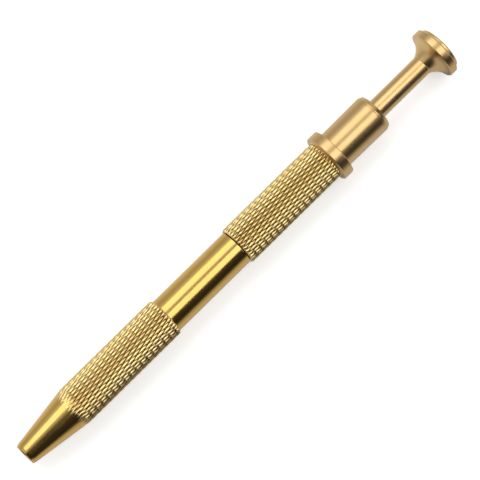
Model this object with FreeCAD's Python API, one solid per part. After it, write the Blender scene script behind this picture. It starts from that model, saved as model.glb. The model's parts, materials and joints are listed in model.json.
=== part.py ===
import FreeCAD, Part

import math
import os

# Four-claw pick-up tool, lying along X with its nozzle at -X and its button at +X.
# Lengths are millimetres. A station is the distance from the nozzle's mouth along the axis.

V = FreeCAD.Vector

# ---- driving dimensions -------------------------------------------------------------------

LENGTH = 120.0
FIT = 0.05  # radial running clearance of sliding pieces
SHOULDER_GAP = 0.1  # axial gap that keeps a washer free between two shoulders

MOUTH_EDGE_R = 2.42
MOUTH_BEVEL = 0.55  # length of the steeper bevel at the mouth
MOUTH_BORE_R = 1.95
MOUTH_CHAMFER = 0.2
CONE_START_R = 2.5  # where the cone would meet the plane of the mouth
CONE_SLOPE = 0.13825  # radius gained per millimetre of nozzle
GRIP_R = 4.5  # crests of the knurl
WAIST_R = 4.0
GRIP_EDGE = 0.35  # rounding at the ends of the grips
BORE_R = 3.0  # main bore, which the claw holder and the washers slide in
BORE_STEP_AT = 9.0
BORE_AT = 13.2

FRONT_GRIP_END = 40.0
WAIST_END = 60.5
REAR_GRIP_END = 86.3
FLANGE_END = 88.7
COLLAR_CHAMFER_AT = 99.8
COLLAR_END = 100.8
FLANGE_R = 5.6
FLANGE_CHAMFER = 0.25
COLLAR_FRONT_R = 4.28
COLLAR_REAR_R = 4.38
COLLAR_END_R = 3.9

THREAD_R = 3.6  # the screwed joints of the barrel, left plain
SPIGOT_LENGTH = 6.0
CHAMFER = 0.3

ROD_R = 2.2
ROD_START = 84.0
ROD_END = 117.0
ROD_GROOVE_R = 1.75
CAP_SHOULDER_AT = 93.0
RING_THICKNESS = 0.6
RING_R = 2.9
RING_GAP_WIDTH = 2.4

HEAD_START = 114.5
HEAD_START_R = 2.25
HEAD_FLARE_AT = 116.45  # a station and radius half way up the hollow flare
HEAD_FLARE_R = 3.75
HEAD_RIM_AT = 117.5
HEAD_RIM_R = 5.7
HEAD_STEP_AT = 119.2
HEAD_DISC_R = 4.95
HEAD_EDGE = 0.15
HEAD_TOP_EDGE = 0.25

DRAW_ROD_R = 1.0
DRAW_ROD_START = 29.0
DRAW_ROD_END = 91.0
NUT_ACROSS_FLATS = 4.0
NUT_HEIGHT = 1.6

SEAT_THICKNESS = 0.8
FOLLOWER_THICKNESS = 0.6
SPRING_R = 2.65  # to the centre of the wire
SPRING_WIRE_R = 0.25
SPRING_TURNS = 9

HOLDER_START = 25.5
HOLDER_LENGTH = 7.5
CLAW_COUNT = 4
CLAW_FIRST_ANGLE = 45.0
CLAW_WIRE_R = 0.25
CLAW_CIRCLE_R = 1.5  # the claw wires' distance from the axis
CLAW_SEAT_DEPTH = 5.0
CLAW_REACH = 13.0  # from the pivot to the mouth, at rest
CLAW_GUIDE_AT = 0.4  # station where the mouth guides the wires
CLAW_NEAREST_R = 0.43  # closest that a wire comes to the axis, at rest
CLAW_TIP_INSET = 1.35  # from the guiding station back to the hook, at rest
CLAW_END_GAP = 0.03
HOOK_BEND_R = 0.45
HOOK_LEG = 0.35
HOOK_TURN = math.radians(100)

AXIS_HEIGHT = HEAD_RIM_R

# ---- derived dimensions -------------------------------------------------------------------

SPIGOT_END = WAIST_END + SPIGOT_LENGTH
REAR_THREAD_START = REAR_GRIP_END - SPIGOT_LENGTH
SEAT_START = SPIGOT_END + SHOULDER_GAP / 2
SEAT_END = SEAT_START + SEAT_THICKNESS
SEAT_SHOULDER_AT = SEAT_END + SHOULDER_GAP / 2
RING_START = CAP_SHOULDER_AT - RING_THICKNESS
FOLLOWER_START = RING_START - FOLLOWER_THICKNESS
HOLDER_END = HOLDER_START + HOLDER_LENGTH
GRIP_START = (GRIP_R - CONE_START_R) / CONE_SLOPE
CLAW_PIVOT_AT = CLAW_GUIDE_AT + CLAW_REACH
# A claw turns this far per millimetre of stroke, so that its wire always leaves by the mouth.
CLAW_TURN_PER_MM = 4 * (CLAW_CIRCLE_R - CLAW_NEAREST_R) / CLAW_REACH**2


# ---- placing and shaping helpers ----------------------------------------------------------


def on_axis(station):
    """The point of the tool's axis at a station."""
    return V(station - LENGTH / 2, 0, AXIS_HEIGHT)


def beside_axis(station, radius, angle=90.0):
    """The point at a station and a radius, at an angle about the axis from +Y."""
    turn = math.radians(angle)
    return on_axis(station) + V(0, radius * math.cos(turn), radius * math.sin(turn))


def turned(*outline):
    """Turn a closed outline about the axis.

    Each corner is (station, radius). Four numbers are an arc's middle and its end.
    """
    edges = []
    corner = outline[0]
    for step in outline[1:] + (outline[0],):
        end = step[-2:]
        if len(step) == 4:
            arc = Part.Arc(beside_axis(*corner), beside_axis(*step[:2]), beside_axis(*end))
            edges.append(arc.toShape())
        else:
            edges.append(Part.makeLine(beside_axis(*corner), beside_axis(*end)))
        corner = end
    face = Part.Face(Part.Wire(edges))
    return face.revolve(on_axis(0), V(1, 0, 0), 360)


def cylinder(start, end, radius):
    """A plain round bar on the axis."""
    return Part.makeCylinder(radius, end - start, on_axis(start), V(1, 0, 0))


def hexagon_nut(start, bore_radius):
    """A plain hexagon nut on the axis, with chamfered corners."""
    flat = NUT_ACROSS_FLATS / 2
    corner = flat / math.cos(math.pi / 6)
    ring = [beside_axis(start, corner, 60.0 * side) for side in range(7)]
    prism = Part.Face(Part.makePolygon(ring)).extrude(V(NUT_HEIGHT, 0, 0))
    end = start + NUT_HEIGHT
    edge = 0.15
    envelope = turned(
        (start, bore_radius),
        (start, flat),
        (start + edge, corner),
        (end - edge, corner),
        (end, flat),
        (end, bore_radius),
    )
    return prism.common(envelope)


def washer(start, thickness, inner, outer):
    """A flat washer on the axis with broken outer edges."""
    end = start + thickness
    edge = 0.1
    return turned(
        (start, inner),
        (start, outer - edge),
        (start + edge, outer),
        (end - edge, outer),
        (end, outer - edge),
        (end, inner),
    )


def wire_along(edges, radius, start, direction):
    """A round wire swept along tangent edges."""
    section = Part.Wire([Part.makeCircle(radius, start, direction)])
    return Part.Wire(edges).makePipeShell([section], True, True)


# ---- barrel -------------------------------------------------------------------------------


def make_front_barrel():
    """Nozzle cone, front grip, waist and threaded spigot, turned in one piece."""
    return turned(
        (0, MOUTH_BORE_R + MOUTH_CHAMFER),
        (0, MOUTH_EDGE_R),
        (MOUTH_BEVEL, CONE_START_R + CONE_SLOPE * MOUTH_BEVEL),
        (GRIP_START, GRIP_R),
        (FRONT_GRIP_END - GRIP_EDGE, GRIP_R),
        (FRONT_GRIP_END, GRIP_R - GRIP_EDGE),
        (FRONT_GRIP_END, WAIST_R),
        (WAIST_END - CHAMFER, WAIST_R),
        (WAIST_END, WAIST_R - CHAMFER),
        (WAIST_END, THREAD_R),
        (SPIGOT_END - CHAMFER, THREAD_R),
        (SPIGOT_END, THREAD_R - CHAMFER),
        (SPIGOT_END, BORE_R),
        (BORE_AT, BORE_R),
        (BORE_STEP_AT, MOUTH_BORE_R),
        (MOUTH_CHAMFER, MOUTH_BORE_R),
    )


def make_rear_barrel():
    """Rear grip sleeve, threaded inside at both ends."""
    return turned(
        (WAIST_END, THREAD_R),
        (WAIST_END, GRIP_R - GRIP_EDGE),
        (WAIST_END + GRIP_EDGE, GRIP_R),
        (REAR_GRIP_END - GRIP_EDGE, GRIP_R),
        (REAR_GRIP_END, GRIP_R - GRIP_EDGE),
        (REAR_GRIP_END, THREAD_R),
        (REAR_THREAD_START, THREAD_R),
        (REAR_THREAD_START, BORE_R + FIT),
        (SEAT_SHOULDER_AT, BORE_R + FIT),
        (SEAT_SHOULDER_AT, THREAD_R),
    )


def make_rear_cap():
    """Finger flange and collar, with the push rod's guide bore behind its shoulder."""
    return turned(
        (REAR_THREAD_START + SHOULDER_GAP, BORE_R + FIT),
        (REAR_THREAD_START + SHOULDER_GAP, THREAD_R - CHAMFER),
        (REAR_THREAD_START + SHOULDER_GAP + CHAMFER, THREAD_R),
        (REAR_GRIP_END, THREAD_R),
        (REAR_GRIP_END, FLANGE_R - FLANGE_CHAMFER),
        (REAR_GRIP_END + FLANGE_CHAMFER, FLANGE_R),
        (FLANGE_END - FLANGE_CHAMFER / 2, FLANGE_R),
        (FLANGE_END, FLANGE_R - FLANGE_CHAMFER / 2),
        (FLANGE_END, COLLAR_FRONT_R),
        (COLLAR_CHAMFER_AT, COLLAR_REAR_R),
        (COLLAR_END, COLLAR_END_R),
        (COLLAR_END, ROD_R + FIT),
        (CAP_SHOULDER_AT, ROD_R + FIT),
        (CAP_SHOULDER_AT, BORE_R + FIT),
    )


def make_spring_seat_washer():
    """Front seat of the spring, which also guides the draw rod."""
    return washer(SEAT_START, SEAT_THICKNESS, DRAW_ROD_R + FIT, THREAD_R - FIT)


# ---- plunger ------------------------------------------------------------------------------


def make_push_rod():
    """Plain rod with a ring groove and a threaded socket for the draw rod."""
    body = turned(
        (ROD_START, 0),
        (ROD_START, ROD_R - CHAMFER),
        (ROD_START + CHAMFER, ROD_R),
        (RING_START, ROD_R),
        (RING_START, ROD_GROOVE_R),
        (CAP_SHOULDER_AT, ROD_GROOVE_R),
        (CAP_SHOULDER_AT, ROD_R),
        (ROD_END, ROD_R),
        (ROD_END, 0),
    )
    return body.cut(cylinder(ROD_START, DRAW_ROD_END, DRAW_ROD_R))


def make_push_button():
    """Mushroom head: hollow flare, narrow rim and a raised top disc."""
    return turned(
        (HEAD_START, ROD_R),
        (HEAD_START, HEAD_START_R),
        (HEAD_FLARE_AT, HEAD_FLARE_R, HEAD_RIM_AT - HEAD_EDGE, HEAD_RIM_R - HEAD_EDGE),
        (HEAD_RIM_AT, HEAD_RIM_R),
        (HEAD_STEP_AT - HEAD_EDGE, HEAD_RIM_R),
        (HEAD_STEP_AT, HEAD_RIM_R - HEAD_EDGE),
        (HEAD_STEP_AT, HEAD_DISC_R),
        (LENGTH - HEAD_TOP_EDGE, HEAD_DISC_R),
        (LENGTH, HEAD_DISC_R - HEAD_TOP_EDGE),
        (LENGTH, 0),
        (ROD_END, 0),
        (ROD_END, ROD_R),
    )


def make_rod_stop_ring():
    """Open retaining ring in the push rod's groove."""
    ring = washer(RING_START, RING_THICKNESS, ROD_GROOVE_R, RING_R)
    gap = Part.makeBox(RING_THICKNESS, RING_GAP_WIDTH, RING_R)
    gap.translate(on_axis(RING_START) - V(0, RING_GAP_WIDTH / 2, 0))
    return ring.cut(gap)


def make_spring_follower():
    """Washer between the spring and the retaining ring."""
    return washer(FOLLOWER_START, FOLLOWER_THICKNESS, ROD_R + FIT, RING_R)


def make_draw_rod():
    """Thin rod from the push rod to the claw holder."""
    return cylinder(DRAW_ROD_START, DRAW_ROD_END, DRAW_ROD_R)


def make_rod_lock_nut():
    """Nut that locks the draw rod against the push rod."""
    return hexagon_nut(ROD_START - NUT_HEIGHT, DRAW_ROD_R)


def make_claw_lock_nut():
    """Nut that locks the claw holder on the draw rod."""
    return hexagon_nut(HOLDER_END, DRAW_ROD_R)


def make_return_spring():
    """Compression spring between its seat and its follower, as a wire through points of its helix."""
    wire_end_gap = SPRING_WIRE_R + FIT
    start = SEAT_END + wire_end_gap
    length = FOLLOWER_START - wire_end_gap - start
    points_per_turn = 8
    steps = SPRING_TURNS * points_per_turn
    helix = Part.BSplineCurve()
    helix.interpolate(
        [
            beside_axis(start + length * step / steps, SPRING_R, 360.0 * step / points_per_turn)
            for step in range(steps + 1)
        ]
    )
    wire_start = beside_axis(start, SPRING_R, 0.0)
    direction = helix.tangent(helix.FirstParameter)[0]
    return wire_along([helix.toShape()], SPRING_WIRE_R, wire_start, direction)


# ---- claws --------------------------------------------------------------------------------


def claw_angle(number):
    """Angle about the axis of one claw."""
    return CLAW_FIRST_ANGLE + number * 360.0 / CLAW_COUNT


def make_claw_holder():
    """Sliding ferrule with one seat per claw wire in front and the draw rod's socket behind."""
    holder = turned(
        (HOLDER_START, 0),
        (HOLDER_START, BORE_R - FIT - CHAMFER),
        (HOLDER_START + CHAMFER, BORE_R - FIT),
        (HOLDER_END - CHAMFER, BORE_R - FIT),
        (HOLDER_END, BORE_R - FIT - CHAMFER),
        (HOLDER_END, 0),
    )
    holder = holder.cut(cylinder(DRAW_ROD_START, HOLDER_END, DRAW_ROD_R))
    for number in range(CLAW_COUNT):
        centre = beside_axis(HOLDER_START, CLAW_CIRCLE_R, claw_angle(number))
        seat = Part.makeCylinder(CLAW_WIRE_R, CLAW_SEAT_DEPTH, centre, V(1, 0, 0))
        holder = holder.cut(seat)
    return holder


def make_claw_shank(number):
    """Straight part of a claw wire, from its seat in the holder to just behind its pivot."""
    start = CLAW_PIVOT_AT + CLAW_WIRE_R + CLAW_END_GAP
    end = HOLDER_START + CLAW_SEAT_DEPTH
    centre = beside_axis(start, CLAW_CIRCLE_R, claw_angle(number))
    return Part.makeCylinder(CLAW_WIRE_R, end - start, centre, V(1, 0, 0))


def make_claw_finger(number):
    """Curved front part of a claw wire, with its hook bent in towards the axis.

    The curve's angle about the pivot grows evenly with the distance from it. Turned evenly
    with the stroke, it therefore always passes through the same point of the mouth.
    """
    angle = claw_angle(number)

    def at_distance(distance):
        lean = -CLAW_TURN_PER_MM * (CLAW_REACH - distance)
        station = CLAW_PIVOT_AT - distance * math.cos(lean)
        return station, CLAW_CIRCLE_R + distance * math.sin(lean)

    tip_distance = CLAW_REACH - CLAW_TIP_INSET
    tip = at_distance(tip_distance)
    before_tip = at_distance(tip_distance - 0.01)
    heading = math.atan2(tip[1] - before_tip[1], before_tip[0] - tip[0])

    def ahead(point, direction, length):
        return point[0] - length * math.cos(direction), point[1] + length * math.sin(direction)

    centre = ahead(tip, heading - math.pi / 2, HOOK_BEND_R)
    outward = heading + math.pi / 2
    bend_middle = ahead(centre, outward - HOOK_TURN / 2, HOOK_BEND_R)
    bend_end = ahead(centre, outward - HOOK_TURN, HOOK_BEND_R)
    leg_end = ahead(bend_end, heading - HOOK_TURN, HOOK_LEG)

    pivot = beside_axis(CLAW_PIVOT_AT, CLAW_CIRCLE_R, angle)
    tip_point = beside_axis(*tip, angle)
    middle = beside_axis(*at_distance(tip_distance / 2), angle)
    curve = Part.Arc(pivot, middle, tip_point)
    bend = Part.Arc(tip_point, beside_axis(*bend_middle, angle), beside_axis(*bend_end, angle))
    leg = Part.makeLine(beside_axis(*bend_end, angle), beside_axis(*leg_end, angle))
    direction = curve.tangent(curve.FirstParameter)[0]
    finger = wire_along([curve.toShape(), bend.toShape(), leg], CLAW_WIRE_R, pivot, direction)
    return finger.fuse(Part.makeSphere(CLAW_WIRE_R, pivot)).removeSplitter()


# ---- writing the nodes --------------------------------------------------------------------


def make_nodes():
    """Every node by name."""
    nodes = {
        "front_barrel": make_front_barrel(),
        "rear_barrel": make_rear_barrel(),
        "rear_cap": make_rear_cap(),
        "spring_seat_washer": make_spring_seat_washer(),
        "push_rod": make_push_rod(),
        "push_button": make_push_button(),
        "rod_stop_ring": make_rod_stop_ring(),
        "spring_follower": make_spring_follower(),
        "return_spring": make_return_spring(),
        "draw_rod": make_draw_rod(),
        "rod_lock_nut": make_rod_lock_nut(),
        "claw_lock_nut": make_claw_lock_nut(),
        "claw_holder": make_claw_holder(),
    }
    for number in range(CLAW_COUNT):
        nodes[f"claw_shank_{number + 1}"] = make_claw_shank(number)
        nodes[f"claw_finger_{number + 1}"] = make_claw_finger(number)
    return nodes


os.makedirs("parts", exist_ok=True)
for name, shape in make_nodes().items():
    if not shape.isValid():
        raise ValueError(f"{name} isn't a valid solid")
    print(name, len(shape.Solids), round(shape.Volume, 3))
    shape.exportStep(f"parts/{name}.step")
print("claw turn, radians per metre of stroke:", round(1000 * CLAW_TURN_PER_MM, 4))
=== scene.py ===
import json
import math

import bmesh
import bpy
import numpy as np
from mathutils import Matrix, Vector


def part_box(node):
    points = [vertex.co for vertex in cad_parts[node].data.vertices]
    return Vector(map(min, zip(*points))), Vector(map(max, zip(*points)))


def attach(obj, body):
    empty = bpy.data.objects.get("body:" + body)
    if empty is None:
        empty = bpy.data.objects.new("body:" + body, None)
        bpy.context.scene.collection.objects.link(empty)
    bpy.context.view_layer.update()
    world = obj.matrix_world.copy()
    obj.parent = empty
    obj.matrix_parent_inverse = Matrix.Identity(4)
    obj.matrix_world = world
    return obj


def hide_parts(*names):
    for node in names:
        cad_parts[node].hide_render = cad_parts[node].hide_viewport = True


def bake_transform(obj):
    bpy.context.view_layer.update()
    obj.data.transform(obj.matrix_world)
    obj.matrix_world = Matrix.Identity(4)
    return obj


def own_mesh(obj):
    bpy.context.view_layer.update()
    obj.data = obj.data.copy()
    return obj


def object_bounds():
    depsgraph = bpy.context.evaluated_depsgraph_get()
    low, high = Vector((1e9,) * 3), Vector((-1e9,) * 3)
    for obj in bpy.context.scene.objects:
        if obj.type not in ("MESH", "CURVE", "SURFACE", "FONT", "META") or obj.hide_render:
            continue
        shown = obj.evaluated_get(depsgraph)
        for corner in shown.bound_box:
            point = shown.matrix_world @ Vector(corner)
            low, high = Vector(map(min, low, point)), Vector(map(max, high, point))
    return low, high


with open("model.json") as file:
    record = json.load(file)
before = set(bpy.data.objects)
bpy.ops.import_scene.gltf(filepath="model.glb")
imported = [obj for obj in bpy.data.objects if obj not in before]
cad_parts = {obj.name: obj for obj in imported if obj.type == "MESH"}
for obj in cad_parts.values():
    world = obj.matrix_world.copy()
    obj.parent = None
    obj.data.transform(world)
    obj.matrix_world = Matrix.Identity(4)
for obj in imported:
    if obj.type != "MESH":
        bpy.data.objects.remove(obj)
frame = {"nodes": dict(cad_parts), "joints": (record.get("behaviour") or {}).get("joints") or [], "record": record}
cad_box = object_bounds()

# Stations and radii are millimetres along and from the tool's axis, with station 0 at the mouth.

MM = 0.001

# ---- the frame ----------------------------------------------------------------------------

barrel_low, barrel_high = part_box("front_barrel")
NOZZLE_X = barrel_low.x
AXIS_Z = (barrel_low.z + barrel_high.z) / 2
GRIP_R = (barrel_high.z - barrel_low.z) / 2 / MM
JOINTS = {joint["name"]: joint for joint in frame["joints"]}


def ends_of(node):
    """The stations of a node's two ends."""
    low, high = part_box(node)
    return (low.x - NOZZLE_X) / MM, (high.x - NOZZLE_X) / MM


def around(station, radius, angle):
    """Points at stations, radii and angles about the axis from +Y, as an array."""
    s, r, a = np.broadcast_arrays(station, radius, angle)
    x = NOZZLE_X + s * MM
    return np.stack([x, r * MM * np.cos(a), AXIS_Z + r * MM * np.sin(a)], axis=-1)


# ---- camera -------------------------------------------------------------------------------

CAMERA_DISTANCE = 0.700  # metres from the axis
CAMERA_LEAN = math.radians(8.3)  # from straight above, towards -Y
CAMERA_BEYOND_NOZZLE = 0.040  # metres
CAMERA_AIM_STATION = 61.9
CAMERA_AIM_ASIDE = 0.57  # millimetres off the axis, towards +Y
CAMERA_LENS = 259.9  # millimetres, as is the sensor's width
SENSOR = 36.0


def make_camera():
    """A long lens above the tool, a little beyond its nozzle."""
    lean = Vector((0, -math.sin(CAMERA_LEAN), math.cos(CAMERA_LEAN)))
    aside = Vector((0, math.cos(CAMERA_LEAN), math.sin(CAMERA_LEAN)))
    place = Vector((NOZZLE_X - CAMERA_BEYOND_NOZZLE, 0, AXIS_Z)) + lean * CAMERA_DISTANCE
    aim = Vector((NOZZLE_X + CAMERA_AIM_STATION * MM, 0, AXIS_Z)) + aside * CAMERA_AIM_ASIDE * MM
    data = bpy.data.cameras.new("camera")
    data.lens = CAMERA_LENS
    data.sensor_width = SENSOR
    data.clip_start = 0.01
    data.clip_end = 20
    camera = bpy.data.objects.new("camera", data)
    camera.location = place
    camera.rotation_euler = (aim - place).to_track_quat("-Z", "Y").to_euler()
    bpy.context.scene.collection.objects.link(camera)
    bpy.context.scene.camera = camera


make_camera()


# ---- light and floor ----------------------------------------------------------------------

SOFTBOX_HEIGHT = 1.2  # metres above the frame's origin
FLOOR_HALF = 8.0  # metres
FLOOR_TONE = 0.94
FLOOR_GLOW = 0.5

# The room's brightness at each angle about the axis, in degrees from straight up towards -Y.
ROOM_LEVELS = [
    (-180, 0.2),
    (-165, 0.7),
    (-150, 0.85),
    (-120, 0.78),
    (-100, 0.66),
    (-84, 0.48),
    (-70, 0.5),
    (-55, 0.75),
    (-16, 0.7),
    (-4, 0.55),
    (3, 0.28),
    (12, 0.04),
    (84, 0.025),
    (92, 0.12),
    (100, 0.38),
    (112, 0.6),
    (130, 0.66),
    (150, 0.58),
    (165, 0.55),
    (180, 0.2),
]


def make_material(name):
    """A new node material, its node tree, its Principled shader and a helper that adds nodes."""
    material = bpy.data.materials.new(name)
    material.use_nodes = True
    tree = material.node_tree
    shader = tree.nodes["Principled BSDF"]

    def add(kind, inputs=None, **settings):
        node = tree.nodes.new(kind)
        for key, value in settings.items():
            setattr(node, key, value)
        for key, value in (inputs or {}).items():
            if isinstance(value, bpy.types.NodeSocket):
                tree.links.new(value, node.inputs[key])
            else:
                node.inputs[key].default_value = value
        return node

    return material, tree, shader, add


def softbox(name, low_angle, high_angle, low_x, high_x, strength):
    """A flat softbox overhead, between two angles about the axis from straight up towards -Y.

    low_x and high_x are where it starts and ends along the axis, in metres. strength is the
    brightness of its face, on the room's scale.
    """
    low_y = -SOFTBOX_HEIGHT * math.tan(math.radians(low_angle))
    high_y = -SOFTBOX_HEIGHT * math.tan(math.radians(high_angle))
    data = bpy.data.lights.new(name, "AREA")
    data.shape = "RECTANGLE"
    data.size = high_x - low_x
    data.size_y = abs(high_y - low_y)
    data.energy = strength * data.size * data.size_y * math.pi
    light = bpy.data.objects.new(name, data)
    light.location = ((low_x + high_x) / 2, (low_y + high_y) / 2, SOFTBOX_HEIGHT)
    bpy.context.scene.collection.objects.link(light)


def make_world():
    """A pale room with a black curtain on its -Y side, from just past overhead to the horizon."""
    world = bpy.data.worlds.new("world")
    world.use_nodes = True
    bpy.context.scene.world = world
    tree = world.node_tree
    place = tree.nodes.new("ShaderNodeTexCoord")
    split = tree.nodes.new("ShaderNodeSeparateXYZ")
    turn = tree.nodes.new("ShaderNodeMath")
    turn.operation = "ARCTAN2"
    share = tree.nodes.new("ShaderNodeMapRange")
    share.inputs["From Min"].default_value = math.pi
    share.inputs["From Max"].default_value = -math.pi
    ramp = tree.nodes.new("ShaderNodeValToRGB")
    stops = ramp.color_ramp.elements
    while len(stops) < len(ROOM_LEVELS):
        stops.new(0.5)
    for stop, (angle, level) in zip(stops, ROOM_LEVELS):
        stop.position = (angle + 180) / 360
        stop.color = (level, level, level, 1)
    tree.links.new(place.outputs["Generated"], split.inputs[0])
    tree.links.new(split.outputs["Y"], turn.inputs[0])
    tree.links.new(split.outputs["Z"], turn.inputs[1])
    tree.links.new(turn.outputs[0], share.inputs["Value"])
    tree.links.new(share.outputs[0], ramp.inputs["Fac"])
    tree.links.new(ramp.outputs["Color"], tree.nodes["Background"].inputs["Color"])


def make_floor():
    """Plain pale floor at the lowest point of the tool."""
    corners = [(x * FLOOR_HALF, y * FLOOR_HALF, 0) for x, y in ((-1, -1), (1, -1), (1, 1), (-1, 1))]
    mesh = bpy.data.meshes.new("floor")
    mesh.from_pydata(corners, [], [(0, 1, 2, 3)])
    floor = bpy.data.objects.new("floor", mesh)
    floor.location.z = cad_box[0].z
    bpy.context.scene.collection.objects.link(floor)
    material, _, shader, _ = make_material("floor")
    shader.inputs["Base Color"].default_value = (FLOOR_TONE, FLOOR_TONE, FLOOR_TONE, 1)
    shader.inputs["Roughness"].default_value = 0.9
    shader.inputs["Emission Color"].default_value = (1, 1, 1, 1)
    shader.inputs["Emission Strength"].default_value = FLOOR_GLOW
    mesh.materials.append(material)
    floor.visible_glossy = False  # the metal mirrors the dimmer room below the horizon instead


make_world()
softbox("softbox_left", low_angle=-48, high_angle=-14, low_x=-0.75, high_x=0.6, strength=1.15)
softbox("softbox_right", low_angle=4, high_angle=36, low_x=-0.15, high_x=1.4, strength=1.85)
softbox("softbox_fill", low_angle=36, high_angle=57, low_x=0.65, high_x=2.4, strength=1.0)
make_floor()
bpy.context.scene.view_settings.view_transform = "Standard"


# ---- materials ----------------------------------------------------------------------------

PATCH_SCALE = 120.0  # of the slow change of tone and gloss
# Painted shade in the knurl's grooves: the colour starts to darken at the first depth and is fully dark at the
# second.
PAINTED_SHADE_START = 0.36  # how deep in a groove the metal starts to darken
PAINTED_SHADE_FULL = 0.78


def lathe_coordinate(add):
    """How far along the turned outline a point is, in metres: along the axis plus out from it.

    Its fine steps lie in rings round the axis, on the sides and on the ends alike. The point's
    own place comes first in what is returned.
    """
    place = add("ShaderNodeTexCoord")
    centred = add(
        "ShaderNodeVectorMath",
        {0: place.outputs["Object"], 1: (0, 0, AXIS_Z)},
        operation="SUBTRACT",
    )
    split = add("ShaderNodeSeparateXYZ", {0: centred.outputs[0]})
    flat = add("ShaderNodeCombineXYZ", {"Y": split.outputs["Y"], "Z": split.outputs["Z"]})
    out = add("ShaderNodeVectorMath", {0: flat.outputs[0]}, operation="LENGTH")
    total = add("ShaderNodeMath", {0: split.outputs["X"], 1: out.outputs["Value"]}, operation="ADD")
    return place.outputs["Object"], total.outputs[0]


def turned_metal(
    name, tone, dull_tone, roughness, spread, ring_pitch, ring_depth, painted_groove_shade=None
):
    """Metal with fine turning rings and a slow, faint change of tone and gloss.

    The roughness varies by spread to either side. The rings' pitch and depth are millimetres.
    The groove tone, if given, is painted shade: the dark colour that the metal fades to where the mesh says that
    it lies deep in a groove.
    """
    material, tree, shader, add = make_material(name)
    shader.inputs["Metallic"].default_value = 1.0
    place, along = lathe_coordinate(add)
    scaled = add("ShaderNodeMath", {0: along, 1: 1 / (ring_pitch * MM)}, operation="MULTIPLY")
    rings = add(
        "ShaderNodeTexNoise",
        {"W": scaled.outputs[0], "Scale": 1.0, "Detail": 3.0, "Roughness": 0.6},
        noise_dimensions="1D",
    )
    bump = add(
        "ShaderNodeBump",
        {"Height": rings.outputs["Fac"], "Strength": 1.0, "Distance": ring_depth * MM},
    )
    tree.links.new(bump.outputs["Normal"], shader.inputs["Normal"])
    patches = add(
        "ShaderNodeTexNoise",
        {"Vector": place, "Scale": PATCH_SCALE, "Detail": 3.0, "Roughness": 0.5},
    )
    share = add(
        "ShaderNodeMapRange",
        {"Value": patches.outputs["Fac"], "From Min": 0.3, "From Max": 0.7},
    )
    mixed = add(
        "ShaderNodeMix",
        {"Factor": share.outputs[0], "A": (*tone, 1), "B": (*dull_tone, 1)},
        data_type="RGBA",
    )
    # Painted shade: deep in the grooves the colour is mixed towards the near-black groove tone.
    if painted_groove_shade:
        depth = add("ShaderNodeAttribute", attribute_name="groove")
        groove_shading = add(
            "ShaderNodeMapRange",
            {"Value": depth.outputs["Fac"], "From Min": PAINTED_SHADE_START, "From Max": PAINTED_SHADE_FULL},
            interpolation_type="SMOOTHSTEP",
        )
        unshaded = mixed.outputs["Result"]
        mixed = add(
            "ShaderNodeMix",
            {"Factor": groove_shading.outputs[0], "A": unshaded, "B": (*painted_groove_shade, 1)},
            data_type="RGBA",
        )
    tree.links.new(mixed.outputs["Result"], shader.inputs["Base Color"])
    gloss = add(
        "ShaderNodeMapRange",
        {
            "Value": share.outputs[0],
            "To Min": roughness - spread,
            "To Max": roughness + spread,
        },
    )
    tree.links.new(gloss.outputs[0], shader.inputs["Roughness"])
    return material


MATERIALS = {
    "polished_brass": turned_metal(
        "polished_brass",
        tone=(0.76, 0.50, 0.15),
        dull_tone=(0.71, 0.45, 0.12),
        roughness=0.18,
        spread=0.02,
        ring_pitch=0.12,
        ring_depth=0.0003,
    ),
    # The knurl's tone is paler and brighter than the polished brass of the same barrel: a painted highlight on its
    # crests.
    "knurled_brass": turned_metal(
        "knurled_brass",
        tone=(0.97, 0.745, 0.335),
        dull_tone=(0.93, 0.69, 0.285),
        roughness=0.12,
        spread=0.015,
        ring_pitch=0.2,
        ring_depth=0.0003,
        # near-black painted shade deep in the grooves
        painted_groove_shade=(0.08, 0.035, 0.004),
    ),
    "satin_brass": turned_metal(
        "satin_brass",
        tone=(0.73, 0.50, 0.225),
        dull_tone=(0.70, 0.465, 0.20),
        roughness=0.28,
        spread=0.015,
        ring_pitch=0.09,
        ring_depth=0.0004,
    ),
    "steel": turned_metal(
        "steel",
        tone=(0.62, 0.61, 0.59),
        dull_tone=(0.52, 0.51, 0.49),
        roughness=0.3,
        spread=0.05,
        ring_pitch=0.08,
        ring_depth=0.001,
    ),
    "spring_steel": turned_metal(
        "spring_steel",
        tone=(0.70, 0.69, 0.67),
        dull_tone=(0.60, 0.59, 0.57),
        roughness=0.18,
        spread=0.04,
        ring_pitch=0.3,
        ring_depth=0.0004,
    ),
}

# Pieces that aren't modelled again below keep their CAD shapes, in their own material.
for name, node in frame["nodes"].items():
    slot = next(p["material_slot"] for p in frame["record"]["subparts"] if p["node"] == name)
    node.data.materials.clear()
    node.data.materials.append(MATERIALS[slot])


# ---- mesh helpers -------------------------------------------------------------------------

WELD_DISTANCE = 1e-7  # metres
SHADING_WEIGHT = 80  # above 50, large faces count for more


def make_piece(name, points, faces, replaced, materials):
    """A smooth-shaded mesh piece, from points in metres, that replaces CAD nodes."""
    mesh = bpy.data.meshes.new(name)
    mesh.from_pydata(points.tolist(), [], faces)
    for material in materials:
        mesh.materials.append(MATERIALS[material])
    mesh.shade_smooth()
    mesh.update()
    piece = bpy.data.objects.new(name, mesh)
    bpy.context.scene.collection.objects.link(piece)
    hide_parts(*replaced)
    return piece


def even_shading(piece):
    """Large faces rule the shading of their corners, so flats and long sides stay flat."""
    modifier = piece.modifiers.new("even_shading", "WEIGHTED_NORMAL")
    modifier.weight = SHADING_WEIGHT


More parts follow.
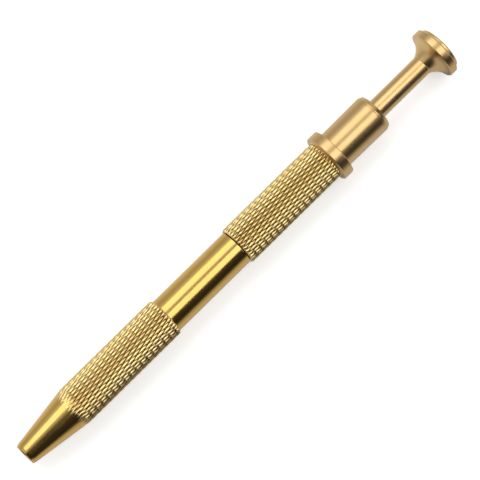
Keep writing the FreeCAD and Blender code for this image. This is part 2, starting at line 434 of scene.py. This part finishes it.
def rounded(corners, steps=4):
    """A closed outline with its corners rounded. Each corner is (station, radius, rounding)."""
    points = []
    places = [np.array(corner[:2], float) for corner in corners]
    for index, (_, _, rounding) in enumerate(corners):
        here = places[index]
        if rounding == 0:
            points.append(here)
            continue
        back = places[index - 1] - here
        on = places[(index + 1) % len(places)] - here
        back /= np.linalg.norm(back)
        on /= np.linalg.norm(on)
        half = math.acos(np.clip(back @ on, -1, 1)) / 2
        centre = here + (back + on) / np.linalg.norm(back + on) * rounding / math.sin(half)
        first = here + back * rounding / math.tan(half) - centre
        last = here + on * rounding / math.tan(half) - centre
        sweep = math.pi - 2 * half
        for step in range(steps + 1):
            turned = sweep * step / steps
            mix = math.sin(sweep - turned) * first + math.sin(turned) * last
            points.append(centre + mix / math.sin(sweep))
    return points


def turned_piece(name, outline, body, slot, replaced, columns=160):
    """A piece turned from a closed outline of (station, radius) points."""
    angles = 2 * math.pi * np.arange(columns) / columns
    points = np.concatenate([around(station, radius, angles) for station, radius in outline])
    faces = []
    for row in range(len(outline)):
        start, following = row * columns, (row + 1) % len(outline) * columns
        for column in range(columns):
            beside = (column + 1) % columns
            faces.append((start + column, start + beside, following + beside, following + column))
    piece = make_piece(name, points, faces, replaced, [slot])
    work = bmesh.new()
    work.from_mesh(piece.data)
    bmesh.ops.remove_doubles(work, verts=work.verts, dist=WELD_DISTANCE)
    work.to_mesh(piece.data)
    work.free()
    even_shading(piece)
    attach(piece, body)


def wire_piece(name, line, radius, slot, replaced, sides=16):
    """A round wire along a line of points, in metres, with domed ends."""
    line = np.array(line)
    along = np.gradient(line, axis=0)
    along /= np.linalg.norm(along, axis=1)[:, None]
    off_wire = (0.3, 0.5, 0.8)  # any direction that isn't along the wire's start
    side = np.cross(along[0], off_wire)
    rings = []
    for point, direction in zip(line, along):
        side = side - direction * (side @ direction)
        side = side / np.linalg.norm(side)
        rings.append((point, direction, side, np.cross(direction, side)))
    domes = [math.radians(angle) for angle in (80, 55, 30)]
    stack = [(rings[0], -math.sin(angle), math.cos(angle)) for angle in domes]
    stack += [(ring, 0.0, 1.0) for ring in rings]
    stack += [(rings[-1], math.sin(angle), math.cos(angle)) for angle in reversed(domes)]
    turns = 2 * math.pi * np.arange(sides) / sides
    points = []
    for (point, direction, side, up), ahead, width in stack:
        circle = np.outer(np.cos(turns), side) + np.outer(np.sin(turns), up)
        points.append(point + radius * (ahead * direction + width * circle))
    last = (len(stack) - 1) * sides
    faces = [tuple(reversed(range(sides)))]
    for start in range(0, last, sides):
        for column in range(sides):
            beside = (column + 1) % sides
            upper = start + sides
            faces.append((start + column, start + beside, upper + beside, upper + column))
    faces.append(tuple(range(last, last + sides)))
    return make_piece(name, np.concatenate(points), faces, replaced, [slot])


# ---- knurled barrel -----------------------------------------------------------------------

TEETH = 33
KNURL_DEPTH = 0.34
FRONT_FALLING_SHARE = 0.75  # how deep the falling grooves are, as a share of the rising ones
REAR_FALLING_SHARE = 0.85
REAR_FIRST_ROW = 5  # where in its pattern the rear knurl starts
CREST_SHARE = 0.10  # how much of the way from crest to groove is left uncut
GROOVE_POWER = 1.8  # above 1, the sides grow steeper towards the groove
RISING_TURNS = 0.334  # grooves met per millimetre of axis, of the set that winds towards +Z
FALLING_TURNS = 0.2905
STEPS_PER_TOOTH = 12
COLUMNS = TEETH * STEPS_PER_TOOTH
ROW_STEP = 2 / (RISING_TURNS + FALLING_TURNS) / STEPS_PER_TOOTH
KNURL_TWIST = -math.pi * (RISING_TURNS - FALLING_TURNS) / TEETH  # radians per millimetre

MOUTH_BORE_R = 1.95
MOUTH_BORE_END = 9.0
MAIN_BORE_START = 13.2
CONE_START_R = 2.5
CONE_SLOPE = 0.13825
GRIP_START = (GRIP_R - CONE_START_R) / CONE_SLOPE
GRIP_INSET = 0.02  # from a grip's end to its last knurled row
FIRST_KNURL_ROW = 12.2
FRONT_GRIP_END = 40.0
WAIST_R = 4.0
WAIST_END, REAR_GRIP_END = ends_of("rear_barrel")
SPIGOT_END = ends_of("front_barrel")[1]
THREAD_R = 3.6
FRONT_THREAD_END = 67.4
REAR_THREAD_START = 80.3
BORE_R = 3.0
FIT = 0.05


def groove_depths(row, falling_share):
    """How deep the knurl is round one row, from 0 on the crests to 1 in the grooves.

    Two crossing sets of grooves leave long diamonds. falling_share is how deep the falling set
    is, as a share of the rising one.
    """
    column = np.arange(COLUMNS)

    def groove(phase):
        from_crest = np.abs(2 * (phase / STEPS_PER_TOOTH % 1.0) - 1)
        return np.clip((from_crest - CREST_SHARE) / (1 - CREST_SHARE), 0, 1) ** GROOVE_POWER

    return np.maximum(groove(column + row), groove(column - row) * falling_share)


def cone_radius(station):
    """The nozzle cone's radius."""
    return CONE_START_R + CONE_SLOPE * station


def rounded_end(distance):
    """The grip's largest radius at a distance from one of its rounded ends."""
    reach, drop = 0.5, 0.3
    inside = max(0.0, 1 - distance / reach)
    return GRIP_R - drop * (1 - math.sqrt(1 - inside**2))


def knurl_rows(start, end, first_row, falling_share, envelope):
    """Rows of (station, radii, groove depths) of a knurled stretch, held under an envelope."""
    count = round((end - start) / ROW_STEP)
    rows = []
    for index in range(count + 1):
        station = start + (end - start) * index / count
        depths = groove_depths(first_row + index, falling_share)
        radii = np.minimum(GRIP_R - KNURL_DEPTH * depths, envelope(station))
        rows.append((station, radii, np.clip((envelope(station) - radii) / KNURL_DEPTH, 0, 1)))
    return rows


def plain_rows(*outline):
    """Rows of plain rings from (station, radius) pairs."""
    flat = np.zeros(COLUMNS)
    return [(station, flat + radius, flat) for station, radius in outline]


def barrel_piece(name, front, grip, back, replaced):
    """A closed barrel piece from rows, where the knurled grip has a finish of its own: lower roughness, a brighter
    tone that paints highlight on the crests, and painted shade in the grooves.

    Each square of the knurl is split along the groove that it lies in. On the cone, ahead of the
    grip's full width, the uncut squares stay plain and polished.
    """
    rows = front + grip + back
    angles = 2 * math.pi * np.arange(COLUMNS) / COLUMNS
    points = np.concatenate([around(s, radii, angles + KNURL_TWIST * s) for s, radii, _ in rows])
    faces, finish = [], []
    for row in range(len(rows)):
        following = (row + 1) % len(rows)
        in_grip = len(front) <= row < len(front) + len(grip) - 1
        here, ahead = rows[row][1], rows[following][1]
        cut = rows[row][2] + rows[following][2] > 0
        on_cone = rows[row][0] < GRIP_START
        for column in range(COLUMNS):
            beside = (column + 1) % COLUMNS
            a, b = row * COLUMNS + column, row * COLUMNS + beside
            c, d = following * COLUMNS + beside, following * COLUMNS + column
            knurled = in_grip and (cut[column] or cut[beside] or not on_cone)
            if not knurled:
                faces.append((a, b, c, d))
            elif abs(here[column] - ahead[beside]) < abs(here[beside] - ahead[column]):
                faces += [(a, b, c), (a, c, d)]
            else:
                faces += [(a, b, d), (b, c, d)]
            finish += [1, 1] if knurled else [0]
    piece = make_piece(
        name, points, faces, replaced, ["polished_brass", "knurled_brass"]
    )
    piece.data.polygons.foreach_set("material_index", finish)
    # Groove depth at each point, from which the knurled material paints shade into the grooves.
    groove = piece.data.attributes.new("groove", "FLOAT", "POINT")
    groove.data.foreach_set("value", np.concatenate([depths for _, _, depths in rows]))
    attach(piece, "barrel")


def make_front_barrel():
    """Nozzle cone running into the front knurl, waist and spigot, with the bore inside."""
    mouth = [(0.2, MOUTH_BORE_R), (0.06, 2.09), (0.0, 2.16)]
    face = [(0.0, 2.33), (0.02, 2.37), (0.06, 2.39)]
    bevel = [(0.44, 2.52), (0.5, 2.55), (0.58, cone_radius(0.58)), (0.7, cone_radius(0.7))]
    cone = [(station, cone_radius(station)) for station in (3.0, 6.0, 9.0, 11.0, 12.0)]
    front = plain_rows(*mouth, *face, *bevel, *cone)

    def envelope(station):
        return min(cone_radius(station), rounded_end(FRONT_GRIP_END - station))

    grip = knurl_rows(
        FIRST_KNURL_ROW, FRONT_GRIP_END - GRIP_INSET, 0, FRONT_FALLING_SHARE, envelope
    )
    back = plain_rows(
        (FRONT_GRIP_END, WAIST_R + 0.14),
        (FRONT_GRIP_END, WAIST_R + 0.03),
        (FRONT_GRIP_END + 0.03, WAIST_R),
        (FRONT_GRIP_END + 0.15, WAIST_R),
        (50.0, WAIST_R),
        (WAIST_END - 0.36, WAIST_R),
        (WAIST_END - 0.24, WAIST_R),
        (WAIST_END - 0.2, WAIST_R - 0.02),
        (WAIST_END - 0.18, WAIST_R - 0.34),
        (WAIST_END - 0.16, THREAD_R),
        (SPIGOT_END - 0.3, THREAD_R),
        (SPIGOT_END, THREAD_R - 0.3),
        (SPIGOT_END, BORE_R + 0.1),
        (SPIGOT_END - 0.1, BORE_R),
        (MAIN_BORE_START, BORE_R),
        (MOUTH_BORE_END, MOUTH_BORE_R),
    )
    barrel_piece("front_barrel_body", front, grip, back, ["front_barrel"])


def make_rear_barrel():
    """Rear knurled sleeve with its threaded bores."""
    edge_r = rounded_end(0.0)
    front = plain_rows((WAIST_END, THREAD_R), (WAIST_END, edge_r - 0.03))

    def envelope(station):
        return rounded_end(min(station - WAIST_END, REAR_GRIP_END - station))

    start, end = WAIST_END + GRIP_INSET, REAR_GRIP_END - GRIP_INSET
    grip = knurl_rows(start, end, REAR_FIRST_ROW, REAR_FALLING_SHARE, envelope)
    back = plain_rows(
        (REAR_GRIP_END, edge_r - 0.03),
        (REAR_GRIP_END, THREAD_R),
        (REAR_THREAD_START, THREAD_R),
        (REAR_THREAD_START, BORE_R + FIT),
        (FRONT_THREAD_END, BORE_R + FIT),
        (FRONT_THREAD_END, THREAD_R),
    )
    barrel_piece("rear_barrel_body", front, grip, back, ["rear_barrel"])


# ---- cap and plunger ----------------------------------------------------------------------

FLANGE_R = 5.6
FLANGE_END = 88.7
COLLAR_FOOT_R = 4.28
COLLAR_R = 4.38
COLLAR_LINE_R = 4.31
COLLAR_END_R = 3.95
COLLAR_CHAMFER_AT = 99.8
ROD_R = 2.2


def make_rear_cap():
    """Finger flange and collar, with a fine turned line in front of the collar's chamfer."""
    start, end = ends_of("rear_cap")
    inside = BORE_R + FIT
    guide = ROD_R + FIT
    shoulder = 93.0
    corners = [
        (start, inside, 0),
        (start, THREAD_R - 0.3, 0),
        (start + 0.3, THREAD_R, 0),
        (REAR_GRIP_END, THREAD_R, 0),
        (REAR_GRIP_END, FLANGE_R - 0.2, 0.06),
        (REAR_GRIP_END + 0.2, FLANGE_R, 0.1),
        (FLANGE_END - 0.12, FLANGE_R, 0.07),
        (FLANGE_END, FLANGE_R - 0.12, 0.06),
        (FLANGE_END, COLLAR_FOOT_R, 0.08),
        (COLLAR_CHAMFER_AT - 0.32, COLLAR_R, 0.03),
        (COLLAR_CHAMFER_AT - 0.25, COLLAR_LINE_R, 0.03),
        (COLLAR_CHAMFER_AT - 0.18, COLLAR_LINE_R, 0.03),
        (COLLAR_CHAMFER_AT - 0.1, COLLAR_R, 0.05),
        (COLLAR_CHAMFER_AT + 0.1, COLLAR_R, 0.15),
        (end, COLLAR_END_R, 0.35),
        (end, guide + 0.12, 0.04),
        (end - 0.12, guide, 0.04),
        (shoulder, guide, 0),
        (shoulder, inside, 0),
    ]
    turned_piece("rear_cap_body", rounded(corners), "barrel", "satin_brass", ["rear_cap"])


def arc_through(start, middle, end, steps):
    """Points on the arc from start to end through middle, without its end."""
    a, b, c = (complex(*point) for point in (start, middle, end))
    ratio = (c - a) / (b - a)
    centre = a + (b - a) * (ratio - abs(ratio) ** 2) / (2j * ratio.imag)
    first = a - centre
    sweep = np.angle((c - centre) / first)
    places = [centre + first * np.exp(1j * sweep * step / steps) for step in range(steps)]
    return [(place.real, place.imag, 0) for place in places]


def make_push_button():
    """Mushroom head: a hollow flare, a narrow rim with rounded edges and a raised top disc."""
    start, end = ends_of("push_button")
    flare_start_r = ROD_R + 0.05
    flare_middle = (116.45, 3.75)
    rim_start, rim_end = 117.3, 119.2
    rim_r = 5.7
    disc_r = 4.95
    socket_end = 117.0
    corners = [
        (start, ROD_R, 0),
        *arc_through((start, flare_start_r), flare_middle, (rim_start, rim_r - 0.2), 18),
        (rim_start, rim_r - 0.2, 0.05),
        (rim_start + 0.2, rim_r, 0.1),
        (rim_end - 0.2, rim_r, 0.12),
        (rim_end, rim_r - 0.25, 0.08),
        (rim_end, disc_r + 0.02, 0.04),
        (end - 0.25, disc_r, 0.15),
        (end, disc_r - 0.25, 0.2),
        (end, 0, 0),
        (socket_end, 0, 0),
        (socket_end, ROD_R, 0),
    ]
    turned_piece("push_button_body", rounded(corners), "plunger", "satin_brass", ["push_button"])


# ---- spring and claws ---------------------------------------------------------------------


def make_return_spring():
    """Compression spring with a closed coil at each end, in one fixed shape: nothing here shortens it as the tool
    is pressed.
    """
    wire_r = 0.25
    coil_r = 2.65
    turns = 9
    closed_turns = 1.0
    closed_pitch = 2 * wire_r + 0.03
    steps_per_turn = 48
    seat = ends_of("spring_seat_washer")[1]
    follower = ends_of("spring_follower")[0]
    start, end = seat + wire_r + FIT, follower - wire_r - FIT
    turn = np.linspace(0, turns, turns * steps_per_turn + 1)
    from_end = np.minimum(turn, turns - turn)
    opening_turns = 0.5
    openness = np.clip((from_end - closed_turns + opening_turns / 2) / opening_turns, 0, 1)
    openness = openness**2 * (3 - 2 * openness)
    rise = np.cumsum(openness)
    spare = end - start - closed_pitch * turns
    stations = start + closed_pitch * turn + spare * rise / rise[-1]
    line = around(stations, coil_r, 2 * math.pi * turn)
    spring = wire_piece(
        "return_spring_wire", line, wire_r * MM, "spring_steel", ["return_spring"], sides=12
    )
    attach(spring, "barrel")
    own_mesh(spring)


def make_claw(number):
    """One claw: a straight shank, a finger that leans in to the mouth, and a hooked tip.

    The finger's angle about the pivot grows evenly with the distance from it. Turned evenly
    with the stroke, it always passes through the same point of the mouth.
    """
    joint = JOINTS[f"claw_spread_{number}"]
    pivot = np.array(joint["pos_m"])
    turn_per_mm = next(
        coupling["ratio"] * MM
        for coupling in frame["record"]["behaviour"]["couplings"]
        if coupling["joint"] == joint["name"]
    )
    outward = np.array([0, pivot[1], pivot[2] - AXIS_Z])
    outward /= np.linalg.norm(outward)
    forward = np.array([-1.0, 0, 0])

    def place(distance, aside):
        return pivot + (forward * distance + outward * aside) * MM

    wire_r = 0.25
    reach = 13.0
    tip_distance = 11.65
    bend_r = 0.45
    bend_turn = math.radians(100)
    hook_leg = 0.35
    blend_reach = 1.6

    def finger(distance):
        lean = -turn_per_mm * (reach - distance)
        return np.array([distance * math.cos(lean), distance * math.sin(lean)])

    shank_end = ends_of(f"claw_shank_{number}")[1]
    pivot_station = (pivot[0] - NOZZLE_X) / MM
    behind = np.linspace(shank_end - pivot_station, blend_reach, 12)
    line = [np.array([-distance, 0]) for distance in behind]
    straight_end, bent = line[-1], finger(blend_reach)
    for share in np.linspace(0, 1, 14)[1:-1]:
        line.append((1 - share) ** 2 * straight_end + share**2 * bent)
    line += [finger(distance) for distance in np.linspace(blend_reach, tip_distance, 40)]
    tip = line[-1]
    tip_step = tip - line[-2]
    heading = math.atan2(tip_step[1], tip_step[0])
    centre = tip + bend_r * np.array([math.sin(heading), -math.cos(heading)])
    for share in np.linspace(0, 1, 14)[1:]:
        turned = heading - share * bend_turn
        line.append(centre + bend_r * np.array([-math.sin(turned), math.cos(turned)]))
    last = heading - bend_turn
    hook_end = line[-1]
    for share in (0.5, 1.0):
        line.append(hook_end + hook_leg * share * np.array([math.cos(last), math.sin(last)]))
    claw = wire_piece(
        f"claw_wire_{number}",
        [place(*point) for point in line],
        wire_r * MM,
        "spring_steel",
        [f"claw_shank_{number}", f"claw_finger_{number}"],
    )
    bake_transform(claw)


make_front_barrel()
make_rear_barrel()
make_rear_cap()
make_push_button()
make_return_spring()
for claw_number in range(1, 5):
    make_claw(claw_number)
